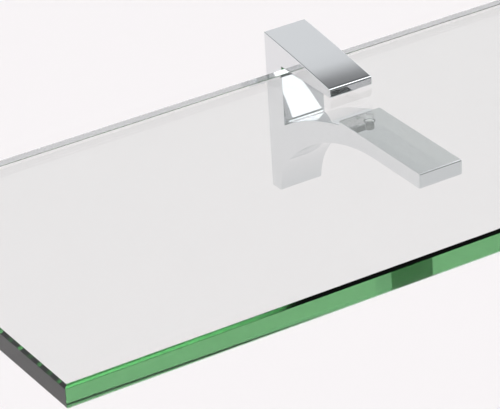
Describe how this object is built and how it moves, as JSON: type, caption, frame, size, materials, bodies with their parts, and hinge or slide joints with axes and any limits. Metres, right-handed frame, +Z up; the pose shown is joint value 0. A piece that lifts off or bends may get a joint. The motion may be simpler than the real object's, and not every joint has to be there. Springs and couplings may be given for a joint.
{
  "type": "wall shelf with brackets",
  "caption": "Flat glass wall shelf with polished edges, clamped in the open jaws of chromed brackets with a short wedge above and a long arched arm below the glass.",
  "frame": {"origin": "on the wall plane, midway between the two brackets, level with the top face of the glass", "axes": "+X along the shelf, +Y into the wall, so the front edge of the glass faces -Y, and +Z up"},
  "size_m": [0.8, 0.1854, 0.0739],
  "materials": {
    "glass": "clear float glass, green in the polished edges",
    "chrome": "polished chrome plating on die-cast zinc",
    "zinc_steel": "bright zinc-plated steel",
    "black_steel": "black-oxide hardened steel",
    "clear_vinyl": "clear soft vinyl"
  },
  "bodies": {
    "frame": {"glass_shelf": "glass", "left_bracket_body": "chrome", "left_wall_plate": "zinc_steel", "left_upper_wall_screw": "zinc_steel", "left_lower_wall_screw": "zinc_steel", "left_roof_pad": "clear_vinyl", "right_bracket_body": "chrome", "right_wall_plate": "zinc_steel", "right_upper_wall_screw": "zinc_steel", "right_lower_wall_screw": "zinc_steel", "right_roof_pad": "clear_vinyl"},
    "left_lock": {"left_lock_screw": "black_steel"},
    "left_tip": {"left_clamp_tip": "chrome", "left_clamp_cushion": "clear_vinyl"},
    "left_clamp": {"left_clamp_screw": "black_steel"},
    "right_lock": {"right_lock_screw": "black_steel"},
    "right_tip": {"right_clamp_tip": "chrome", "right_clamp_cushion": "clear_vinyl"},
    "right_clamp": {"right_clamp_screw": "black_steel"}
  },
  "joints": [
    {"name": "left_lock_travel", "type": "slide", "parent": "frame", "child": "left_lock", "axis": [0, 0, 1], "range_m": [-0.004, 0]},
    {"name": "left_clamp_travel", "type": "slide", "parent": "frame", "child": "left_tip", "axis": [0, 0, 1], "range_m": [-0.003, 0]},
    {"name": "left_clamp_turn", "type": "hinge", "parent": "left_tip", "child": "left_clamp", "pos_m": [-0.204, -0.0596, -0.018], "axis": [0, 0, 1], "range_deg": [-1350, 0]},
    {"name": "right_lock_travel", "type": "slide", "parent": "frame", "child": "right_lock", "axis": [0, 0, 1], "range_m": [-0.004, 0]},
    {"name": "right_clamp_travel", "type": "slide", "parent": "frame", "child": "right_tip", "axis": [0, 0, 1], "range_m": [-0.003, 0]},
    {"name": "right_clamp_turn", "type": "hinge", "parent": "right_tip", "child": "right_clamp", "pos_m": [0.204, -0.0596, -0.018], "axis": [0, 0, 1], "range_deg": [-1350, 0]}
  ],
  "couplings": [
    {"joint": "left_clamp_turn", "follows": "left_clamp_travel", "rad_per_m": 7854},
    {"joint": "right_clamp_turn", "follows": "right_clamp_travel", "rad_per_m": 7854}
  ]
}
